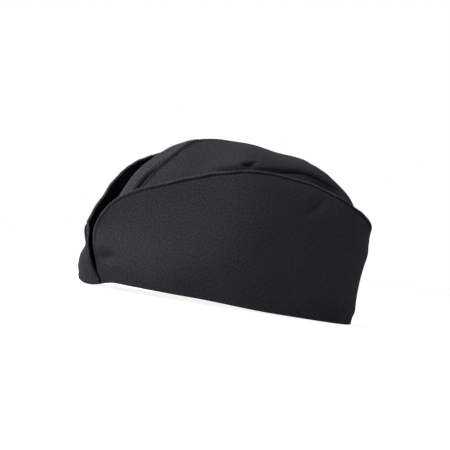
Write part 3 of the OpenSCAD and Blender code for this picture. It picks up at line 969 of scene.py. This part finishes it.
# %% Make the crown panels
FOLD_PUFF, FOLD_WIDE, FOLD_STITCH, FOLD_IN, FOLD_WAVE = 0.45, 1.3, 2.0, 0.8, 11.0
PULL_HIGH, PULL_REACH, FOLD_RUB, RIM_SHADE = 0.30, 9.0, 0.3, 1.6
ROW_CUT, ROW_LIFT = 6, 0.05
FRONT_TUCK = {"left": -0.6, "right": 0.0}
u_line = np.linspace(0, 1, 230)
# Rows from hem to ridge: close together over the crease, and closest at the fold
v_line = np.concatenate([
    np.linspace(0, 0.55, 46)[:-1],
    np.linspace(0.55, 0.81, 70),
    np.linspace(0.81, 0.9, 11)[1:],
    0.9 + 0.1 * (1 - (1 - np.linspace(0, 1, 18)[1:]) ** 1.6),
])
U, V = np.meshgrid(u_line, v_line, indexing="ij")
panel_start = first_wide(STRIP_HALF + 2, CROWN_CLOTH)


def panel_place(u, v, d, tuck):
    t = panel_start + (np.pi - 2 * panel_start) * u
    fold_at = STRIP_HALF - tuck * between(u, 0.0, 0.12, 0.34, 0.42)
    low, high = lean_hem(t, d), lean_at(t, fold_at, d)
    return crown_point(t, -(low + (high - low) * v), d)


ridges = {}
for side in SIDES:
    plain = panel_place(U, V, 0.0, FRONT_TUCK[side])
    plain_inner = panel_place(U, V, CROWN_CLOTH, FRONT_TUCK[side])
    near = np.linalg.norm(plain - plain[:, -1][:, None], axis=-1)
    wave = 2 * np.pi * flat_place(plain)[..., 0] / MM / FOLD_WAVE + 1.4 * np.sin(near / 4.0)
    pull = PULL_HIGH * np.exp(-near / PULL_REACH) * rise(near, 0.0, 4.0) * np.sin(wave)
    fold = FOLD_PUFF * hump(near, FOLD_IN, FOLD_WIDE) - 0.12 * hump(near, FOLD_STITCH + FOLD_IN, 0.6)
    relief = crown_relief(plain, side) + (fold + pull) * rise(plain[..., 2], 4.0, 12.0)
    outer, inner = pushed(plain, plain_inner, relief)
    wear_and_shade = FOLD_RUB * np.exp(-near / 1.6)
    if side == "left":
        # Painted shade along the front rim of the left panel's fold, and the crease's painted shade
        shaded_rim = between(plain[..., 0], -88.0, -74.0, -48.0, -36.0)
        wear_and_shade -= RIM_SHADE * shaded_rim * np.exp(-near / 1.2) + crease_shade(plain)
    panel = closed_sheet("crown_%s_cloth" % side, mirror(outer, side), mirror(inner, side), wear_and_shade)
    dress(panel, crown_twill, node="crown_%s_panel" % side)
    column = int(np.argmin(np.abs(near[len(u_line) // 2] - FOLD_STITCH - FOLD_IN)))
    row_n = outward(outer)[ROW_CUT:-ROW_CUT, column]
    row = outer[ROW_CUT:-ROW_CUT, column] + row_n * ROW_LIFT
    stitches = stitch_row("crown_%s_fold_stitches" % side, mirror(row, side), mirror(row_n, side))
    dress(stitches, sewing_thread)
    ridges[side] = mirror(outer, side)[:, -1]
    print(side, "panel, cm2", square_cm(panel), "faces", len(panel.data.polygons))

# %% [markdown]
# ## The top strip and its seam tapes
# The strip joins the two panels from the front of the hem over the top to the back, and is sunk
# below their ridges. On top it swells between its seams. On the front slope it lies deep beside the
# left ridge and rises to a crest that catches the light, and that crest is also painted paler, a
# painted highlight. A painted shade runs beside each seam. Inside, a tape covers each seam. The
# tapes are simple flat sheets that follow the crown.

# %% Make the strip
STRIP_SWELL, SEAM_SINK, RIPPLE_HIGH, SLACK_HIGH = 2.6, 2.8, 0.22, 0.35
TOP_RUB, CREST_HIGHLIGHT, SEAM_SHADE = 0.2, 0.85, 1.1
# Across the strip on the front slope, as pairs of y and height
CREST = [
    (-18.0, -1.4), (-14.5, -2.8), (-12.0, -2.4), (-9.0, 0.0), (-5.0, 1.5),
    (0.0, 2.3), (4.5, 2.2), (7.5, 0.6), (11.0, -2.6), (18.0, -1.2),
]
# Along the strip on the front slope: x, half length, height
CREST_HUMPS = [(-74.0, 11.0, -1.5), (-54.0, 8.0, 0.7), (-42.0, 7.5, 3.0)]
strip_start = first_high(HEM_Z + 2, STRIP_IN + CROWN_CLOTH)
U_STRIP, V_STRIP = share_grid(190, 44)


def strip_place(u, v, d):
    t = strip_start + (np.pi - 2 * strip_start) * u
    g = np.minimum(lean_at(t, STRIP_HALF + STRIP_LAP, d), lean_hem(t, d))
    return crown_point(t, g * (2 * v - 1), d)


def strip_relief(face):
    x, y, z = face[..., 0], face[..., 1], face[..., 2]
    s = np.abs(y)
    swell = STRIP_SWELL * np.cos(np.pi / 2 * np.clip(s / (STRIP_HALF - 1.0), 0, 1)) ** 2
    sink = SEAM_SINK * hump(s, STRIP_HALF - 0.6, 2.0)
    crest = wander(CREST, y) + sum(high * hump(x, px, half) for px, half, high in CREST_HUMPS)
    front = rise(-x, 8.0, 42.0)
    across = (1 - front) * (swell - sink) + front * crest
    run = flat_place(face)[..., 0] / MM
    ripple = RIPPLE_HIGH * np.sin(run / 3.6 + 0.5 * y) * hump(s, STRIP_HALF - 3.0, 3.0)
    slack = SLACK_HIGH * np.sin(run / 13.0 + 0.12 * y)
    return (across - far_fall(x, y) + ripple + slack) * rise(z, 6.0, 20.0)


face = strip_place(U_STRIP, V_STRIP, STRIP_IN)
below = strip_place(U_STRIP, V_STRIP, STRIP_IN + CROWN_CLOTH)
outer, inner = pushed(face, below, strip_relief(face))
x, y = outer[..., 0], outer[..., 1]
left_seam, right_seam = (np.interp(x, ridges[side][:, 0], ridges[side][:, 1]) for side in SIDES)
# The strip's top is paler from wear; its crest on the front slope is made paler as a painted highlight
wear_and_shade = TOP_RUB * hump(y, 0.0, 5.0) + CREST_HIGHLIGHT * hump(y, 3.0, 4.5) * rise(-x, 38.0, 60.0)
# A painted shade runs beside each seam
left_shade = hump(y, left_seam + 2.3 + 1.8 * hump(x, -60.0, 16.0), 1.6)
right_shade = hump(y, right_seam - 1.0, 1.5)
wear_and_shade -= SEAM_SHADE * (left_shade + right_shade)
strip = closed_sheet("crown_strip_cloth", outer, inner, wear_and_shade)
dress(strip, lit_strip_twill, node="crown_top_strip")
print("strip, cm2", square_cm(strip))

# %% Make the seam tapes
tape_middle = STRIP_HALF + STRIP_LAP / 2
tape_start = first_wide(tape_middle + TAPE_WIDTH / 2 + 2, TAPE_IN + TAPE_THICK)
U_TAPE, V_TAPE = share_grid(130, 9)


def tape_place(u, v, d):
    t = tape_start + (np.pi - 2 * tape_start) * u
    low = lean_at(t, tape_middle + TAPE_WIDTH / 2, d)
    high = lean_at(t, tape_middle - TAPE_WIDTH / 2, d)
    return crown_point(t, -np.minimum(low + (high - low) * v, lean_hem(t, d)), d)


for side in SIDES:
    face, below = tape_place(U_TAPE, V_TAPE, TAPE_IN), tape_place(U_TAPE, V_TAPE, TAPE_IN + TAPE_THICK)
    fallen = far_fall(face[..., 0], -face[..., 1]) if side == "right" else np.zeros(face.shape[:-1])
    outer, inner = pushed(face, below, -fallen)
    tape = closed_sheet("crown_%s_tape_cloth" % side, mirror(outer, side), mirror(inner, side))
    dress(tape, seam_tape, node="crown_%s_seam_tape" % side)
    rows = inner_rows("crown_%s_tape_stitches" % side, mirror(inner, side), (1, 7), 3)
    print(side, "tape, cm2", square_cm(tape))

# %% [markdown]
# ## The band, its elastic back and the hem binding
# Inside the hem a cotton band meets the forehead. At the back it gives way to a casing that is
# gathered over a strap of elastic, so its cloth stands in small regular waves. A narrow binding
# closes the hem. Each follows the crown's own section at its depth.

# %% Make the band
BAND_HEIGHT, ELASTIC_HEIGHT, CASING_CLOTH, LAYER = 30.0, 19.0, 0.5, 0.1
CASING_REACH, BAND_WAVES, BAND_SOFT, BAND_RIDGE, BAND_RUB = 42.0, 9.0, 0.28, 0.3, 0.4
CASING_X = HEAD_LENGTH / 2 - CASING_REACH
U_BAND, V_BAND = share_grid(260, 22)


def band_nose(z, d):
    return (CROWN_L - d) * (1 - (z / (CROWN_HEIGHT - d)) ** PROFILE_POWER) ** (1 / PROFILE_POWER)


def band_place(p, z, d):
    f = -band_nose(z, d) * signed_power(np.cos(p), 2 / HEAD_POWER)
    return np.stack([-f, np.sign(np.sin(p)) * crown_side(f, z, d), z], -1)


def band_angle(x, z, d):
    return np.arccos((x / band_nose(z, d)) ** (HEAD_POWER / 2))


def front_band(u, v, d):
    z = HEM_Z + BAND_HEIGHT * v
    p = band_angle(CASING_X, z, d)
    return band_place(p + (2 * np.pi - 2 * p) * u, z, d)


outer, inner = front_band(U_BAND, V_BAND, BAND_IN), front_band(U_BAND, V_BAND, CROWN_DEPTH)
soft = BAND_SOFT * np.sin(2 * np.pi * U_BAND * BAND_WAVES + 3.0 * V_BAND) * np.sin(np.pi * V_BAND)
push = soft * between(U_BAND, 0.0, 0.05, 0.95, 1.0) + BAND_RIDGE * hump(V_BAND, 0.93, 0.02)
inner = inner - push[..., None] * outward(inner)
band = closed_sheet("sweatband_cloth", outer, inner, BAND_RUB * hump(V_BAND, 1.0, 0.05))
dress(band, band_cotton, node="sweatband")
band_rows = inner_rows("sweatband_stitches", inner, (1, 19), 2, 3.2, 2.2)
print("band, cm2", square_cm(band))

# %% Make the elastic back
GATHERS, GATHER_HIGH, GATHER_RUB = 31, 0.55, 0.25
U_CASE, V_CASE = share_grid(300, 22)
U_STRAP, V_STRAP = share_grid(180, 10)


def back_band(u, v, d, height):
    z = HEM_Z + (BAND_HEIGHT - height) / 2 + height * v
    p = band_angle(CASING_X + LAYER, z, d)
    return band_place(p * (2 * u - 1), z, d)


outer = back_band(U_CASE, V_CASE, CROWN_DEPTH - CASING_CLOTH, BAND_HEIGHT)
inner = back_band(U_CASE, V_CASE, CROWN_DEPTH, BAND_HEIGHT)
waves = np.sin(2 * np.pi * U_CASE * GATHERS + 1.2 * np.sin(U_CASE * 40) + 0.8 * V_CASE)
gather = GATHER_HIGH * (1 + waves) * np.sin(np.pi * np.clip(V_CASE, 0.02, 0.98)) ** 0.7
gather *= between(U_CASE, 0.0, 0.04, 0.96, 1.0)
push = gather[..., None] * outward(inner)
outer, inner = outer - push, inner - push
casing = closed_sheet("casing_cloth", outer, inner, GATHER_RUB * gather)
dress(casing, shaded_facing_twill, node="elastic_casing")
case_rows = inner_rows("casing_stitches", inner, (3, 18), 3, 2.4, 1.7)

outer = back_band(U_STRAP, V_STRAP, BAND_IN, ELASTIC_HEIGHT)
inner = back_band(U_STRAP, V_STRAP, CROWN_DEPTH - CASING_CLOTH - LAYER, ELASTIC_HEIGHT)
elastic = closed_sheet("elastic_strap", outer, inner)
dress(elastic, elastic_rib, node="back_elastic")
print("casing, cm2", square_cm(casing), "elastic, cm2", square_cm(elastic))

# %% Make the hem binding
BINDING_HEIGHT, BINDING_IN, TOE_OUT, BINDING_RUB = 2.2, 0.55, 0.7, 0.15
BINDING_STEPS, BINDING_SIDES, FLAT_SIDES, FLAT_TOP = 360, 20, 0.5, 0.6
turns = np.linspace(0, 2 * np.pi, BINDING_STEPS + 1)[:-1]
corner = np.arange(BINDING_SIDES) * 2 * np.pi / BINDING_SIDES


def hem_oval(long, wide):
    x = long * signed_power(np.cos(turns), 2 / HEAD_POWER)
    return np.stack([x, wide * signed_power(np.sin(turns), 2 / HEAD_POWER)], -1)


reach = CURTAIN_OFF - BINDING_IN
outside, inside = hem_oval(CROWN_L + reach, CROWN_W + reach), hem_oval(HEAD_LENGTH / 2, HEAD_WIDTH / 2)
outside[:, 0] -= TOE_OUT * rise(-outside[:, 0], 70.0, 103.0)
share = 0.5 + 0.5 * signed_power(np.cos(corner), FLAT_SIDES)
height = BINDING_HEIGHT * (0.5 + 0.5 * signed_power(np.sin(corner), FLAT_TOP))
flat_ring = inside[:, None] + share[None, :, None] * (outside - inside)[:, None]
rings = np.concatenate([flat_ring, np.repeat(height[None, :, None], len(turns), 0)], -1)
at = np.arange(len(turns) * len(corner)).reshape(len(turns), len(corner))
ahead_at, over_at = np.roll(at, -1, 0), np.roll(at, -1, 1)
faces = np.stack([at, ahead_at, np.roll(ahead_at, -1, 1), over_at], -1).reshape(-1, 4).tolist()
place = flat_place(rings).reshape(-1, 3)
wear_and_shade = np.full(at.size, BINDING_RUB)
binding = new_piece("hem_binding_tape", rings.reshape(-1, 3), faces, place, wear_and_shade)
dress(binding, binding_tape, node="hem_binding")
print("binding, cm2", square_cm(binding))

# %% [markdown]
# ## Floor and light
# A catalogue picture has no horizon: the floor and the world are both white to the camera, while
# the light on the cloth stays at a plain level. Large soft lamps from above and from the left do
# most of the work, two weak ones from the front and the right keep the near curtain readable, and
# the world fills the shadows. The settled cap reaches a little below its hem plane, so the floor is
# lower there and tilted by about one degree to meet it.

# %% Floor
FLOOR_HALF, FLOOR_GAP, FLOOR_GLOW, PAPER, PAPER_ROUGH = 3.0, 0.5, 0.905, 0.82, 0.9
BACK_TOUCH, TOUCH_LONG = 95.0, 190.0
FLOOR_SLOPE = (TOE_DROOP - BACK_SAG) / TOUCH_LONG


def plain_rays(nodes, links):
    """1 for what is seen directly, in a reflection or through glass, 0 for the light on the cloth."""
    rays = nodes.new("ShaderNodeLightPath")
    total = rays.outputs["Is Camera Ray"]
    for kind in ("Is Glossy Ray", "Is Transmission Ray"):
        larger = nodes.new("ShaderNodeMath")
        larger.operation = "MAXIMUM"
        links.new(total, larger.inputs[0])
        links.new(rays.outputs[kind], larger.inputs[1])
        total = larger.outputs[0]
    return total


def floor_point(x, y):
    slant = x * math.cos(AZIMUTH) - y * math.sin(AZIMUTH)
    return x, y, -(BACK_SAG + FLOOR_GAP) * MM - FLOOR_SLOPE * (BACK_TOUCH * MM - slant)


corners = [(-1, -1), (1, -1), (1, 1), (-1, 1)]
floor_mesh = bpy.data.meshes.new("floor")
floor_points = [floor_point(FLOOR_HALF * x, FLOOR_HALF * y) for x, y in corners]
floor_mesh.from_pydata(floor_points, [], [(0, 1, 2, 3)])
floor = bpy.data.objects.new("floor", floor_mesh)
collection.objects.link(floor)
paper = bpy.data.materials.new("white_paper")
paper.use_nodes = True
nodes, links = paper.node_tree.nodes, paper.node_tree.links
paper_shader = nodes["Principled BSDF"]
paper_shader.inputs["Base Color"].default_value = (PAPER, PAPER, PAPER, 1)
paper_shader.inputs["Roughness"].default_value = PAPER_ROUGH
paper_shader.inputs["Specular IOR Level"].default_value = 0.0
glow = nodes.new("ShaderNodeEmission")
both = nodes.new("ShaderNodeAddShader")
seen = nodes.new("ShaderNodeMath")
seen.operation = "MULTIPLY"
seen.inputs[1].default_value = FLOOR_GLOW
links.new(plain_rays(nodes, links), seen.inputs[0])
links.new(seen.outputs[0], glow.inputs["Strength"])
links.new(paper_shader.outputs["BSDF"], both.inputs[0])
links.new(glow.outputs["Emission"], both.inputs[1])
links.new(both.outputs["Shader"], nodes["Material Output"].inputs["Surface"])
floor_mesh.materials.append(paper)
print("floor, m", 2 * FLOOR_HALF, "tilt in degrees", round(math.degrees(FLOOR_SLOPE), 1))

# %% Light
LAMP_AWAY, LAMP_SIZE, WORLD_LIGHT = 1.6, 0.9, 0.085
LAMPS = [
    # name, direction as right, up and towards the camera, watts
    ("left", (-0.85, 0.45, 0.0), 9.6),
    ("above", (-0.42, 0.84, 0.30), 12.6),
    ("front", (-0.50, 0.30, 0.80), 1.0),
    ("right", (0.85, 0.04, 0.52), 0.9),
]
for name, direction, power in LAMPS:
    lamp = bpy.data.lights.new(name, "AREA")
    lamp.shape, lamp.size, lamp.energy = "SQUARE", LAMP_SIZE, power
    stand = bpy.data.objects.new(name, lamp)
    collection.objects.link(stand)
    way = level * direction[0] + Vector((0, 0, 1)) * direction[1] + towards * direction[2]
    stand.location = AIM * MM + way.normalized() * LAMP_AWAY
    stand.rotation_euler = way.to_track_quat("Z", "Y").to_euler()
print("lamps", [name for name, direction, power in LAMPS])

# %% World
world = bpy.data.worlds.new("studio")
bpy.context.scene.world = world
world.use_nodes = True
nodes, links = world.node_tree.nodes, world.node_tree.links
sky = nodes["Background"]
sky.inputs["Color"].default_value = (1, 1, 1, 1)
sky.inputs["Strength"].default_value = WORLD_LIGHT
white = nodes.new("ShaderNodeBackground")
white.inputs["Color"].default_value = (1, 1, 1, 1)
choose = nodes.new("ShaderNodeMixShader")
links.new(plain_rays(nodes, links), choose.inputs[0])
links.new(sky.outputs["Background"], choose.inputs[1])
links.new(white.outputs["Background"], choose.inputs[2])
links.new(choose.outputs["Shader"], nodes["World Output"].inputs["Surface"])
print("world light", WORLD_LIGHT)
